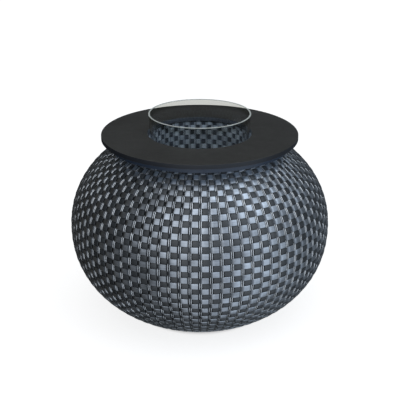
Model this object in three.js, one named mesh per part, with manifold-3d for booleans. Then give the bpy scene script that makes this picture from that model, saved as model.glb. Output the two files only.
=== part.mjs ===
// Ice bucket coffee table: a woven globe on a bent bar frame, a flat ring top on a collar,
// and a clear glass bucket that drops into a woven well through the hole in the top.
// Lengths are in millimetres. The floor is z = 0 and the axis of the table is the z axis.

import * as THREE from 'three';
import { mergeVertices } from 'three/addons/utils/BufferGeometryUtils.js';
import Module from 'manifold-3d';

const wasm = await Module();
wasm.setup();

// Heights and radii of the globe
const tableHeight = 433;
const bellyHeight = 215;
const bellyRadius = 300;
const neckRadius = 176.5;
const footRadius = 161;
const glideHeight = 8;

// Fullness of the globe: the exponent of its outline above and below the belly, 2 being an ellipse
const shoulderFullness = 2.1;
const footFullness = 2.14;

// Woven strips, and how far the weave dips between its crests
const weaveThickness = 6;
const weaveRelief = 2.2;

// Tabletop and collar
const topRadius = 222.5;
const topThickness = 10;
const holeRadius = 118;
const arris = 0.8;
const collarRadius = 208;
const collarBore = 126;
const collarThickness = 12.7;

// Glass bucket
const bucketProud = 45;
const bucketHeight = 200;
const bucketRimRadius = 115.5;
const bucketBaseRadius = 103;
const bucketWall = 3.5;
const bucketFloor = 9;
const bucketHeel = 14;

// Woven well that takes the bucket
const wellRadius = 121;
const wellThickness = 4;
const wellFloorThickness = 3;
const wellDrainRadius = 12;

// Pads under the bucket
const padRadius = 9;
const padHeight = 4;
const padCircle = 80;

// Frame bars
const ringThickness = 4;
const neckRingWidth = 24;
const footRingWidth = 28;
const ribWidth = 16;
const ribThickness = 6;
const ribTrim = 24;
const hoopBar = 10;
const wellBar = 8;
const strutBar = 10;

// Glides with their studs and nuts, set back from the inner edge of the foot ring
const glideRadius = 11;
const glideSetback = 7;
const glideRound = 2;
const studRadius = 3;
const studLength = 13;
const nutRadius = 5.5;
const nutHeight = 5;

// Screws that hold the tabletop
const screwRadius = 2.5;
const screwHeadRadius = 5;
const screwHeadHeight = 3.5;
const screwBite = 7;

// Clearances, and how far a cutting tool runs past what it cuts
const seat = 0.3;
const weaveSlack = 0.7;
const holeSlack = 0.3;
const overrun = 1;

// How many there are of what repeats
const ribCount = 8;
const wellRodCount = 4;
const padCount = 4;
const glideCount = 4;
const screwCount = 4;

// Steps of the outline from foot to neck, and the steps that the hoops lie at
const arcSteps = 14;
const fineSteps = 60;
const footHoopStep = 3;
const bellyHoopStep = 7;
const shoulderHoopStep = 11;

// Facets: columns of crests round the weave and rows of them up it, and sides of what is round
const weaveColumns = 84;
const weaveRows = 16;
const wellColumns = 56;
const topFacets = 48;
const bucketFacets = 44;
const hoopFacets = 32;
const barSides = 6;
const nutSides = 6;
const smallSides = 12;
const cornerSteps = 3;

// Levels that follow from the sizes above, counted down from the tabletop
const topUnderside = tableHeight - topThickness;
const collarUnderside = topUnderside - seat - collarThickness;
const neckHeight = collarUnderside - seat;
const neckRingUnderside = neckHeight - ringThickness;
const footHeight = glideHeight;
const footRingTop = footHeight + ringThickness;
const bucketBase = tableHeight + bucketProud - bucketHeight;
const wellFloorTop = bucketBase - seat - padHeight - seat;
const wellFloorUnderside = wellFloorTop - wellFloorThickness;
const wellOuter = wellRadius + wellThickness;

// Finishes
const finishes = {
  charcoalBoard: { color: 0x2c2c2a, roughness: 0.45, metalness: 0.0 },
  collarPaint: { color: 0x3c4048, roughness: 0.4, metalness: 0.2 },
  strip: { color: 0x3f474d, roughness: 0.35, metalness: 0.0 },
  framePaint: { color: 0x26282a, roughness: 0.5, metalness: 0.6 },
  glass: { color: 0xdfe8ea, roughness: 0.03, metalness: 0.0, transparent: true, opacity: 0.3 },
  rubber: { color: 0x151515, roughness: 0.8, metalness: 0.0 },
  steel: { color: 0xb9bcc0, roughness: 0.3, metalness: 1.0 },
};

// Geometry helpers

/** Closed geometry from sections of as many points each: a tube that meets itself if endless, and is capped if not. */
function loft(sections, endless = false) {
  const sides = sections[0].length;
  const spans = endless ? sections.length : sections.length - 1;
  const position = sections.flat().flatMap((point) => [point.x, point.y, point.z]);
  const index = [];
  for (let span = 0; span < spans; span += 1) {
    const here = span * sides;
    const after = ((span + 1) % sections.length) * sides;
    for (let side = 0; side < sides; side += 1) {
      const next = (side + 1) % sides;
      index.push(here + side, here + next, after + next);
      index.push(here + side, after + next, after + side);
    }
  }
  if (!endless) {
    const last = spans * sides;
    for (let side = 1; side + 1 < sides; side += 1) {
      index.push(0, side + 1, side, last, last + side, last + side + 1);
    }
  }
  const geometry = new THREE.BufferGeometry();
  geometry.setAttribute('position', new THREE.Float32BufferAttribute(position, 3));
  geometry.setIndex(index);
  return geometry;
}

/** A lathed solid about the z axis, from [radius, height] points that run anticlockwise in the r-z plane. */
function revolve(points, facets) {
  const closed = points[0][0] > 0 ? [...points, points[0]] : points;
  const geometry = new THREE.LatheGeometry(closed.map(([r, z]) => new THREE.Vector2(r, z)), facets);
  return geometry.rotateX(Math.PI / 2);
}

/** An upright cylinder that stands on the given height. */
function post(radius, bottom, height, sides = smallSides) {
  const geometry = new THREE.CylinderGeometry(radius, radius, height, sides);
  return geometry.rotateX(Math.PI / 2).translate(0, 0, bottom + height / 2);
}

/** Points of an arc, as [radius, height], from one angle to another in radians. */
function arc(centreR, centreZ, radius, from, to, steps = cornerSteps) {
  return Array.from({ length: steps + 1 }, (unused, i) => {
    const angle = from + ((to - from) * i) / steps;
    return [centreR + radius * Math.cos(angle), centreZ + radius * Math.sin(angle)];
  });
}

/** Turns a geometry into a solid that can be cut and joined. */
function solid(geometry) {
  const bare = geometry.clone();
  bare.deleteAttribute('normal');
  bare.deleteAttribute('uv');
  const merged = mergeVertices(bare);
  return new wasm.Manifold(new wasm.Mesh({
    numProp: 3,
    vertProperties: new Float32Array(merged.attributes.position.array),
    triVerts: new Uint32Array(merged.index.array),
  }));
}

/** Gives a solid back as a geometry. */
function shape(body) {
  const mesh = body.getMesh();
  const geometry = new THREE.BufferGeometry();
  geometry.setAttribute('position', new THREE.BufferAttribute(new Float32Array(mesh.vertProperties), 3));
  geometry.setIndex(new THREE.BufferAttribute(new Uint32Array(mesh.triVerts), 1));
  geometry.computeVertexNormals();
  return geometry;
}

/** Cuts every tool out of a geometry. */
function cut(geometry, tools) {
  return shape(tools.reduce((body, tool) => body.subtract(solid(tool)), solid(geometry)));
}

/** Joins geometries into one solid. */
function join(geometries) {
  return shape(geometries.map(solid).reduce((body, other) => body.add(other)));
}

/** Copies of a geometry on a circle about the z axis. */
function ringOf(geometry, radius, count, firstAngle) {
  return Array.from({ length: count }, (unused, i) => geometry.clone()
    .translate(radius, 0, 0)
    .rotateZ(firstAngle + (2 * Math.PI * i) / count));
}

// Outline of the globe

/** Radius share left at a height share, on a superellipse. */
function superellipse(share, fullness) {
  return (1 - share ** fullness) ** (1 / fullness);
}

const shoulderRise = (neckHeight - bellyHeight) / superellipse(neckRadius / bellyRadius, shoulderFullness);
const footDrop = (bellyHeight - footHeight) / superellipse(footRadius / bellyRadius, footFullness);

/** Point and outward normal of the outline at an angle: negative below the belly, positive above it. */
function outlinePoint(angle) {
  const fullness = angle < 0 ? footFullness : shoulderFullness;
  const rise = angle < 0 ? -footDrop : shoulderRise;
  const c = Math.cos(angle);
  const s = Math.abs(Math.sin(angle));
  const r = bellyRadius * c ** (2 / fullness);
  const z = bellyHeight + rise * s ** (2 / fullness);
  const normal = new THREE.Vector2(
    (r / bellyRadius) ** (fullness - 1) / bellyRadius,
    (Math.abs(z - bellyHeight) / Math.abs(rise)) ** (fullness - 1) / rise,
  ).normalize();
  return { r, z, normal };
}

/** The outline from foot to neck, in steps of equal length. */
function resampleOutline(steps) {
  const fine = steps * fineSteps;
  const first = -Math.acos((footRadius / bellyRadius) ** (footFullness / 2));
  const last = Math.acos((neckRadius / bellyRadius) ** (shoulderFullness / 2));
  const points = Array.from({ length: fine + 1 }, (unused, i) => outlinePoint(first + ((last - first) * i) / fine));
  const travel = [0];
  points.slice(1).forEach((point, i) => {
    travel.push(travel[i] + Math.hypot(point.r - points[i].r, point.z - points[i].z));
  });
  const length = travel[fine];
  const picked = [];
  for (let step = 0; step <= steps; step += 1) {
    const wanted = (length * step) / steps;
    const i = Math.min(fine - 1, Math.max(0, travel.findIndex((t) => t >= wanted) - 1));
    const part = (wanted - travel[i]) / (travel[i + 1] - travel[i]);
    picked.push(outlinePoint(first + ((last - first) * (i + part)) / fine));
  }
  return picked;
}

const outline = resampleOutline(arcSteps);

/** The point of one outline step, moved inward by a depth. */
function inset(point, depth) {
  return [point.r - depth * point.normal.x, point.z - depth * point.normal.y];
}

/** Carries a run of points on past both of its ends, in the direction that it has there. */
function extend(points, length) {
  const beyond = (end, before) => {
    const span = Math.hypot(end[0] - before[0], end[1] - before[1]);
    return [end[0] + ((end[0] - before[0]) * length) / span, end[1] + ((end[1] - before[1]) * length) / span];
  };
  const n = points.length;
  return [beyond(points[0], points[1]), ...points, beyond(points[n - 1], points[n - 2])];
}

/** Radius, at a height, of the surface that lies a depth inside the outline. */
function insetRadius(height, depth) {
  const points = extend(outline.map((point) => inset(point, depth)), ribTrim);
  const i = points.findIndex((point, k) => k > 0 && point[1] >= height);
  const [r0, z0] = points[i - 1];
  const [r1, z1] = points[i];
  return r0 + ((r1 - r0) * (height - z0)) / (z1 - z0);
}

// Depths inside the outline of the faces of the ribs, and of the hoops inside them
const ribOuterDepth = weaveThickness + weaveSlack;
const ribInnerDepth = ribOuterDepth + ribThickness;
const hoopDepth = ribInnerDepth + seat + hoopBar / 2;

// Radii that several pieces share
const footRingOuter = inset(outline[0], weaveThickness)[0] - weaveSlack;
const footRingInner = footRingOuter - footRingWidth;
const neckRingOuter = inset(outline[arcSteps], weaveThickness)[0] - weaveSlack;
const neckRingInner = neckRingOuter - neckRingWidth;
const glideCircle = footRingInner + glideSetback;
const screwCircle = neckRingInner + neckRingWidth / 2;
const wellHoopCircle = (wellOuter + seat + wellBar / 2) / Math.cos(Math.PI / hoopFacets);
const wellRodCircle = wellHoopCircle + wellBar / 2 + seat + wellBar / 2;
const midBay = Math.PI / ribCount;

// Woven pieces

/** Depth of the weave at a row and column: it dips at every second one, but not along its two edges. */
function weaveDepth(row, column) {
  const edge = row === 0 || row === weaveRows;
  return edge || (row + column) % 2 === 0 ? 0 : weaveRelief;
}

/** The globe: a shell as thick as the woven strips, open at the foot and at the neck, with the weave's crests. */
function wovenSkin() {
  const crests = resampleOutline(weaveRows);
  const inside = outline.map((point) => inset(point, weaveThickness));
  const sections = Array.from({ length: weaveColumns }, (unused, column) => {
    const outside = crests.map((point, row) => inset(point, weaveDepth(row, column)));
    const angle = (2 * Math.PI * column) / weaveColumns;
    return [...inside, ...outside.reverse()]
      .map(([r, z]) => new THREE.Vector3(r * Math.cos(angle), r * Math.sin(angle), z));
  });
  return loft(sections, true);
}

/** The sleeve round the bucket, from the well floor up to the tabletop. */
function wovenWell() {
  const bottom = wellFloorTop + seat;
  const top = topUnderside - seat;
  return revolve([[wellRadius, bottom], [wellOuter, bottom], [wellOuter, top], [wellRadius, top]], wellColumns);
}

// Tabletop, collar and their screws

/** The flat ring top, with its edges eased, and blind holes for the screws. */
function tabletop() {
  const low = topUnderside;
  const high = tableHeight;
  const ring = revolve([
    [holeRadius, low], [topRadius - arris, low], [topRadius, low + arris], [topRadius, high - arris],
    [topRadius - arris, high], [holeRadius + arris, high], [holeRadius, high - arris],
  ], topFacets);
  const hole = post(screwRadius + holeSlack, low - overrun, overrun + screwBite + holeSlack);
  return cut(ring, ringOf(hole, screwCircle, screwCount, midBay));
}

/** The ring that the tabletop lies on. */
function collar() {
  const low = collarUnderside;
  const high = low + collarThickness;
  const ring = revolve([
    [collarBore, low], [collarRadius - arris, low], [collarRadius, low + arris], [collarRadius, high],
    [collarBore, high],
  ], topFacets);
  const hole = post(screwRadius + holeSlack, low - overrun, collarThickness + 2 * overrun);
  return cut(ring, ringOf(hole, screwCircle, screwCount, midBay));
}

/** A pan head screw that comes up through the neck ring and the collar into the tabletop. */
function topScrew() {
  const headTop = neckRingUnderside - seat;
  const shankBottom = headTop - screwHeadHeight / 2;
  const shank = post(screwRadius, shankBottom, topUnderside + screwBite - shankBottom);
  const head = revolve([
    [0, headTop - screwHeadHeight],
    [screwHeadRadius / 2, headTop - screwHeadHeight],
    [screwHeadRadius, headTop - screwHeadHeight / 2],
    [screwHeadRadius, headTop],
    [0, headTop],
  ], smallSides);
  return join([shank, head]).translate(screwCircle, 0, 0);
}

// Frame of the globe

/** A flat ring with holes for studs or screws. */
function flatRing(inner, outer, bottom, holeShank, holeCircle, holeCount) {
  const top = bottom + ringThickness;
  const ring = revolve([[inner, bottom], [outer, bottom], [outer, top], [inner, top]], topFacets);
  const hole = post(holeShank + holeSlack, bottom - overrun, ringThickness + 2 * overrun);
  return cut(ring, ringOf(hole, holeCircle, holeCount, midBay));
}

/** The ring on top of the ribs, which the collar and the tabletop are screwed to. */
function neckRing() {
  return flatRing(neckRingInner, neckRingOuter, neckRingUnderside, screwRadius, screwCircle, screwCount);
}

/** The ring under the ribs, which stands on the glides. */
function footRing() {
  return flatRing(footRingInner, footRingOuter, footHeight, studRadius, glideCircle, glideCount);
}

/** A rib: a flat bar bent along the inside of the weave, and trimmed level where it meets the two flat rings. */
function rib() {
  const outer = extend(outline.map((point) => inset(point, ribOuterDepth)), ribTrim);
  const inner = extend(outline.map((point) => inset(point, ribInnerDepth)), ribTrim);
  const half = ribWidth / 2;
  const sections = outer.map((point, i) => [
    new THREE.Vector3(point[0], -half, point[1]),
    new THREE.Vector3(point[0], half, point[1]),
    new THREE.Vector3(inner[i][0], half, inner[i][1]),
    new THREE.Vector3(inner[i][0], -half, inner[i][1]),
  ]);
  const low = footRingTop + seat;
  const high = neckRingUnderside - seat;
  const bay = new THREE.BoxGeometry(2 * bellyRadius, ribWidth + 2 * overrun, high - low)
    .translate(bellyRadius, 0, (low + high) / 2);
  return shape(solid(loft(sections)).intersect(solid(bay)));
}

/** A hoop of round bar that lies against the insides of the ribs at one step of the outline. */
function hoop(step) {
  const [r, z] = inset(outline[step], hoopDepth);
  return new THREE.TorusGeometry(r, hoopBar / 2, barSides, hoopFacets).translate(0, 0, z);
}

// Frame of the well

/** A hoop of round bar round the sleeve, with its middle at the given height. */
function wellHoop(height) {
  return new THREE.TorusGeometry(wellHoopCircle, wellBar / 2, barSides, hoopFacets).translate(0, 0, height);
}

const wellHoopTopHeight = collarUnderside - seat - wellBar / 2;
const wellHoopBottomHeight = wellFloorUnderside - seat - wellBar / 2;

/** An upright rod that ties the two hoops together. */
function wellRod() {
  const bottom = wellHoopBottomHeight - wellBar / 2;
  return post(wellBar / 2, bottom, collarUnderside - seat - bottom).translate(wellRodCircle, 0, 0);
}

/** A bar from the foot of an upright rod out to the rib behind it. */
function wellStrut() {
  const start = wellRodCircle + wellBar / 2 + seat;
  const height = wellHoopBottomHeight;
  const end = Math.min(
    insetRadius(height - strutBar / 2, ribInnerDepth),
    insetRadius(height + strutBar / 2, ribInnerDepth),
  ) - seat;
  return new THREE.CylinderGeometry(strutBar / 2, strutBar / 2, end - start, smallSides)
    .rotateZ(Math.PI / 2).translate((start + end) / 2, 0, height);
}

/** The disc that carries the bucket and closes the sleeve, with a drain hole. */
function wellFloor() {
  const radius = wellHoopCircle + wellBar / 2;
  return revolve([
    [wellDrainRadius, wellFloorUnderside], [radius, wellFloorUnderside],
    [radius, wellFloorTop], [wellDrainRadius, wellFloorTop],
  ], wellColumns);
}

/** A rubber pad on the well floor. */
function bucketPad() {
  const bottom = wellFloorTop + seat;
  return revolve([
    [0, bottom], [padRadius, bottom], [padRadius, bottom + padHeight / 2],
    [padRadius - padHeight / 4, bottom + padHeight], [0, bottom + padHeight],
  ], smallSides).translate(padCircle, 0, 0);
}

// Glass bucket

/** The bucket: a tapered glass cup with a thick floor, a round heel and a fire polished rim. */
function iceBucket() {
  const top = bucketBase + bucketHeight;
  const lean = (bucketRimRadius - bucketBaseRadius) / bucketHeight;
  const outerAt = (height) => bucketBaseRadius + lean * height;
  const rim = bucketWall / 2;
  const innerHeel = bucketHeel - bucketWall;
  const heelR = outerAt(bucketHeel) - bucketHeel;
  return revolve([
    [0, bucketBase],
    ...arc(heelR, bucketBase + bucketHeel, bucketHeel, -Math.PI / 2, 0),
    ...arc(outerAt(bucketHeight) - rim, top - rim, rim, 0, Math.PI),
    ...arc(heelR, bucketBase + bucketFloor + innerHeel, innerHeel, 0, -Math.PI / 2),
    [0, bucketBase + bucketFloor],
  ], bucketFacets);
}

// Feet

/** A glide with a rounded tread and a stud that passes through the foot ring. */
function glide() {
  const top = footHeight - seat;
  const foot = revolve([
    [0, 0], [glideRadius - glideRound, 0], [glideRadius, glideRound], [glideRadius, top], [0, top],
  ], smallSides);
  const stud = post(studRadius, top - overrun, studLength + overrun);
  return join([foot, stud]).translate(glideCircle, 0, 0);
}

/** A nut on a stud. */
function glideNut() {
  const bottom = footRingTop + seat;
  const hexagon = post(nutRadius, bottom, nutHeight, nutSides);
  const bore = post(studRadius + holeSlack, bottom - overrun, nutHeight + 2 * overrun);
  return cut(hexagon, [bore]).translate(glideCircle, 0, 0);
}

// Assembly

const table = new THREE.Group();

/** Adds one named piece. */
function place(name, geometry, finish, angle = 0) {
  const mesh = new THREE.Mesh(geometry, new THREE.MeshStandardMaterial(finishes[finish]));
  mesh.name = name;
  mesh.rotation.z = angle;
  table.add(mesh);
}

/** Adds numbered copies of a piece, evenly spaced about the axis. */
function placeAround(name, geometry, finish, count, firstAngle = 0) {
  for (let i = 0; i < count; i += 1) {
    place(`${name}_${i + 1}`, geometry, finish, firstAngle + (2 * Math.PI * i) / count);
  }
}

place('tabletop', tabletop(), 'charcoalBoard');
place('collar', collar(), 'collarPaint');
placeAround('top_screw', topScrew(), 'steel', screwCount, midBay);
place('woven_skin', wovenSkin(), 'strip');
place('neck_ring', neckRing(), 'framePaint');
place('foot_ring', footRing(), 'framePaint');
place('foot_hoop', hoop(footHoopStep), 'framePaint');
place('belly_hoop', hoop(bellyHoopStep), 'framePaint');
place('shoulder_hoop', hoop(shoulderHoopStep), 'framePaint');
placeAround('rib', rib(), 'framePaint', ribCount);
place('woven_well', wovenWell(), 'strip');
place('well_hoop_top', wellHoop(wellHoopTopHeight), 'framePaint');
place('well_hoop_bottom', wellHoop(wellHoopBottomHeight), 'framePaint');
placeAround('well_rod', wellRod(), 'framePaint', wellRodCount);
placeAround('well_strut', wellStrut(), 'framePaint', wellRodCount);
place('well_floor', wellFloor(), 'framePaint');
placeAround('bucket_pad', bucketPad(), 'rubber', padCount, midBay);
place('ice_bucket', iceBucket(), 'glass');
placeAround('glide', glide(), 'rubber', glideCount, midBay);
placeAround('glide_nut', glideNut(), 'steel', glideCount, midBay);

export default table;
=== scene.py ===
"""Ice bucket coffee table: a woven globe with a dark ring top and a clear glass bucket.

Lengths are in metres. The floor is z = 0, the axis of the table is the z axis, and a turn is an
angle about that axis, counted from the front of the table towards its right side.
"""
import logging
import math
from abc import ABC, abstractmethod
from collections.abc import Callable, Sequence
from dataclasses import dataclass
from enum import Enum

import bpy
import numpy as np
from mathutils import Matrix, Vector


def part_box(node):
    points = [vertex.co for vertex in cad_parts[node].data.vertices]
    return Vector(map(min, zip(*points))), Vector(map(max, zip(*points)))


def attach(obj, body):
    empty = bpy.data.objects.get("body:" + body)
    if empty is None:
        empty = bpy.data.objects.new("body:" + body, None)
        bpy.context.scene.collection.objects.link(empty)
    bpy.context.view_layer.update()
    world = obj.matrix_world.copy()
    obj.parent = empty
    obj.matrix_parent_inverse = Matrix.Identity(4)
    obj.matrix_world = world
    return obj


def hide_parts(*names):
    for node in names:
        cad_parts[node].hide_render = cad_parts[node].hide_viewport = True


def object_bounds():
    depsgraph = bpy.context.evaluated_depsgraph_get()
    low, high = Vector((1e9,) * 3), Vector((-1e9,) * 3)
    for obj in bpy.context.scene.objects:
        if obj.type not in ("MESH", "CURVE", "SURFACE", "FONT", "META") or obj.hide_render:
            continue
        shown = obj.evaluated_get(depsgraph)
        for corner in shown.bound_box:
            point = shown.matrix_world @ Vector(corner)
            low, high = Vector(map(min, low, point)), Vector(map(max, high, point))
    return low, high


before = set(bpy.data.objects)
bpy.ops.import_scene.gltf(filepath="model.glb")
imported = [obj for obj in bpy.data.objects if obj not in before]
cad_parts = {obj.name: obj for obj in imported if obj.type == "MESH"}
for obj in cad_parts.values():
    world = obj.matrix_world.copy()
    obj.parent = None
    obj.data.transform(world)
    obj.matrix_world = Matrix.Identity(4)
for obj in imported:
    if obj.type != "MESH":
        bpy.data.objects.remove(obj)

CAD_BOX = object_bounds()
LOG = logging.getLogger("ice_bucket_table")

Colour = tuple[float, float, float]
ProfilePoint = tuple[float, float]
Node = bpy.types.Node
Piece = bpy.types.Object
Socket = bpy.types.NodeSocket

FULL_TURN = 2 * math.pi

# The lengthwise map of a weave's strips, how much further along it each strip starts, and their values

STRIP_MAP = "strip"
STRIP_MAP_SHIFT = 0.37
TONE = "tone"
OPENNESS = "openness"

# The Mix node's sockets for colours, by number

MIX_COLOURS = (6, 7)
MIX_RESULT = 2


class Body(Enum):
    """The two bodies of the table."""

    TABLE = "table"
    BUCKET = "bucket"


class Slot(Enum):
    """The material slots of the finishes."""

    BOARD = "charcoal_board"
    COLLAR = "collar_board"
    STRIP = "strip"
    FRAME = "frame_paint"
    GLASS = "clear_glass"
    RUBBER = "rubber"
    STEEL = "steel"


# Node graphs


class Graph:
    """A node tree that is being filled in."""

    def __init__(self, tree: bpy.types.NodeTree) -> None:
        """Keeps the tree of a material, a group or the world."""
        self.tree = tree

    def feed(self, node: Node, inputs: dict[str | int, object]) -> None:
        """Gives a node's inputs what they take.

        Args:
            node: The node.
            inputs: A socket to join or a value to set for each input, by the input's name or number.
        """
        for name, value in inputs.items():
            if isinstance(value, Socket):
                self.tree.links.new(value, node.inputs[name])
            else:
                node.inputs[name].default_value = value

    def add(self, kind: str, inputs: dict[str | int, object] | None = None, **settings: object) -> Node:
        """Adds a node.

        Args:
            kind: The node's type name.
            inputs: What its inputs take.
            **settings: Values for its own properties.

        Returns:
            The new node.
        """
        node = self.tree.nodes.new(kind)
        for name, value in settings.items():
            setattr(node, name, value)
        self.feed(node, inputs or {})
        return node

    def take(self, output: str | int, kind: str, inputs: dict[str | int, object] | None = None,
             **settings: object) -> Socket:
        """Adds a node in the same way, and gives the output that is named first."""
        return self.add(kind, inputs, **settings).outputs[output]

    def maths(self, operation: str, *operands: object) -> Socket:
        """The result of a Math node on sockets or numbers."""
        return self.take("Value", "ShaderNodeMath", dict(enumerate(operands)), operation=operation)

    def vectors(self, operation: str, *operands: object, output: str = "Vector") -> Socket:
        """The result of a Vector Math node on sockets or vectors."""
        return self.take(output, "ShaderNodeVectorMath", dict(enumerate(operands)), operation=operation)

    def remap(self, value: Socket, low: float, high: float, to_low: object = 0.0,
              to_high: object = 1.0) -> Socket:
        """Adds a clamped Map Range node.

        Args:
            value: The socket to remap.
            low: The value that becomes to_low.
            high: The value that becomes to_high.
            to_low: The result at low, a number or a socket.
            to_high: The result at high, a number or a socket.

        Returns:
            The remapped value.
        """
        return self.take("Result", "ShaderNodeMapRange", {
            "Value": value, "From Min": low, "From Max": high, "To Min": to_low, "To Max": to_high,
        })

    def blend(self, factor: Socket, first: object, second: object) -> Socket:
        """Adds a colour mix.

        Args:
            factor: The share of the second colour.
            first: A colour or a colour socket.
            second: A colour or a colour socket.

        Returns:
            The mixed colour.
        """
        pair = [colour if isinstance(colour, Socket) else (*colour, 1.0) for colour in (first, second)]
        inputs = {"Factor": factor} | dict(zip(MIX_COLOURS, pair))
        return self.take(MIX_RESULT, "ShaderNodeMix", inputs, data_type="RGBA")

    def spot(self) -> Socket:
        """The place on the piece, in its own coordinates."""
        return self.take("Object", "ShaderNodeTexCoord")

    def facing(self) -> Socket:
        """The direction that the surface faces."""
        return self.take("Normal", "ShaderNodeNewGeometry")

    def upward(self, vector: Socket) -> Socket:
        """The upward part of a vector."""
        return self.take("Z", "ShaderNodeSeparateXYZ", {"Vector": vector})

    def level(self, vector: Socket) -> Socket:
        """A vector without its upward part."""
        return self.vectors("MULTIPLY", vector, (1.0, 1.0, 0.0))

    def noise(self, place: Socket, **inputs: object) -> Socket:
        """Noise at a place, with values or sockets for the texture's inputs."""
        return self.take("Fac", "ShaderNodeTexNoise", {"Vector": place} | inputs)

    def relief(self, height: Socket, depth: float) -> Socket:
        """The direction that a surface faces once a value has raised it by up to a depth."""
        return self.take("Normal", "ShaderNodeBump", {"Strength": 1.0, "Distance": depth, "Height": height})


class Effect(Enum):
    """Shader effects that several finishes share, each a node group."""

    STREAKS = "Streaks"
    MOTTLE = "Mottle"
    ARRIS = "Arris wear and highlight"
    DUST = "Dust"


class EffectShelf:
    """Builds each shared node group once and places it in materials."""

    def __init__(self) -> None:
        """Names each group's recipe and inputs, and starts with no group built."""
        self.recipes: dict[Effect, tuple[Callable[[Graph, Node], Socket], tuple[str, ...]]] = {
            Effect.STREAKS: (self.streaks, ("Along", "Across")),
            Effect.MOTTLE: (self.mottle, ("Scale", "Detail", "Low", "High")),
            Effect.ARRIS: (self.arris, ("Sharpness", "Amount")),
            Effect.DUST: (self.dust, ("Scale", "Amount")),
        }
        self.groups: dict[Effect, bpy.types.NodeTree] = {}

    def place(self, graph: Graph, effect: Effect, **inputs: float) -> Socket:
        """Puts an effect into a graph.

        Args:
            graph: The graph of a material.
            effect: Which effect.
            **inputs: Values for the group's inputs.

        Returns:
            The group's value output.
        """
        if effect not in self.groups:
            self.groups[effect] = self.build(effect)
        values = {name.capitalize(): value for name, value in inputs.items()}
        return graph.take("Value", "ShaderNodeGroup", values, node_tree=self.groups[effect])

    def build(self, effect: Effect) -> bpy.types.NodeTree:
        """Builds the node group of an effect.

        Args:
            effect: Which effect.

        Returns:
            The group's tree.
        """
        tree = bpy.data.node_groups.new(effect.value, "ShaderNodeTree")
        recipe, names = self.recipes[effect]
        for name in names:
            tree.interface.new_socket(name=name, in_out="INPUT", socket_type="NodeSocketFloat")
        tree.interface.new_socket(name="Value", in_out="OUTPUT", socket_type="NodeSocketFloat")
        graph = Graph(tree)
        graph.add("NodeGroupOutput", {"Value": recipe(graph, graph.add("NodeGroupInput"))})
        return tree

    @staticmethod
    def streaks(graph: Graph, given: Node) -> Socket:
        """Fine lines along a strip: noise stretched along its lengthwise map.

        Args:
            graph: The group's graph.
            given: The group's input node.

        Returns:
            How light the lines are.
        """
        place = graph.take("UV", "ShaderNodeUVMap", uv_map=STRIP_MAP)
        scale = {"X": given.outputs["Along"], "Y": given.outputs["Across"]}
        stretched = graph.vectors("MULTIPLY", place, graph.take("Vector", "ShaderNodeCombineXYZ", scale))
        return graph.noise(stretched, Scale=1.0, Detail=3.0, Roughness=0.6)

    @staticmethod
    def mottle(graph: Graph, given: Node) -> Socket:
        """Soft cloudy variation between two values.

        Args:
            graph: The group's graph.
            given: The group's input node.

        Returns:
            The varied value.
        """
        source = given.outputs
        noise = graph.noise(graph.spot(), Scale=source["Scale"], Detail=source["Detail"], Roughness=0.55)
        return graph.remap(noise, 0.3, 0.7, source["Low"], source["High"])

    @staticmethod
    def arris(graph: Graph, given: Node) -> Socket:
        """A mask of outer edges, broken up by noise.

        Args:
            graph: The group's graph.
            given: The group's input node.

        Returns:
            The mask.
        """
        edge = graph.maths("SUBTRACT", graph.take("Pointiness", "ShaderNodeNewGeometry"), 0.5)
        steep = graph.maths("MULTIPLY", edge, given.outputs["Sharpness"])
        broken = graph.maths("MULTIPLY", steep, graph.noise(graph.spot(), Scale=55.0, Detail=4.0))
        return graph.maths("MULTIPLY", graph.remap(broken, 0.0, 1.0), given.outputs["Amount"])

    @staticmethod
    def dust(graph: Graph, given: Node) -> Socket:
        """A mask of faces that look up, broken up by noise.

        Args:
            graph: The group's graph.
            given: The group's input node.

        Returns:
            The mask.
        """
        up = graph.remap(graph.upward(graph.facing()), 0.35, 1.0)
        noise = graph.noise(graph.spot(), Scale=given.outputs["Scale"], Detail=5.0, Roughness=0.65)
        patchy = graph.maths("MULTIPLY", up, graph.remap(noise, 0.35, 0.75))
        return graph.maths("MULTIPLY", patchy, given.outputs["Amount"])


EFFECTS = EffectShelf()


# Finishes


def toned(colour: Colour, share: float) -> Colour:
    """A colour made darker or lighter."""
    return tuple(share * part for part in colour)


def mottle(graph: Graph, scale: float, detail: float, low: float = 0.0, high: float = 1.0) -> Socket:
    """Soft cloudy variation in a material, between two values."""
    return EFFECTS.place(graph, Effect.MOTTLE, scale=scale, detail=detail, low=low, high=high)


class Finish(ABC):
    """A surface finish that builds its own material once."""

    name: str
    slot: Slot

    @abstractmethod
    def fill(self, graph: Graph, shader: Node) -> None:
        """Fills in the graph of the material round its surface shader."""

    def material(self) -> bpy.types.Material:
        """The finish's material, built on first use.

        Returns:
            The material.
        """
        material = bpy.data.materials.get(self.name)
        if material is None:
            material = bpy.data.materials.new(self.name)
            material.use_nodes = True
            self.fill(Graph(material.node_tree), material.node_tree.nodes["Principled BSDF"])
        return material

    def put_on(self, piece: Piece) -> None:
        """Gives a piece this finish.

        Args:
            piece: The piece.
        """
        piece.data.materials.clear()
        piece.data.materials.append(self.material())


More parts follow.
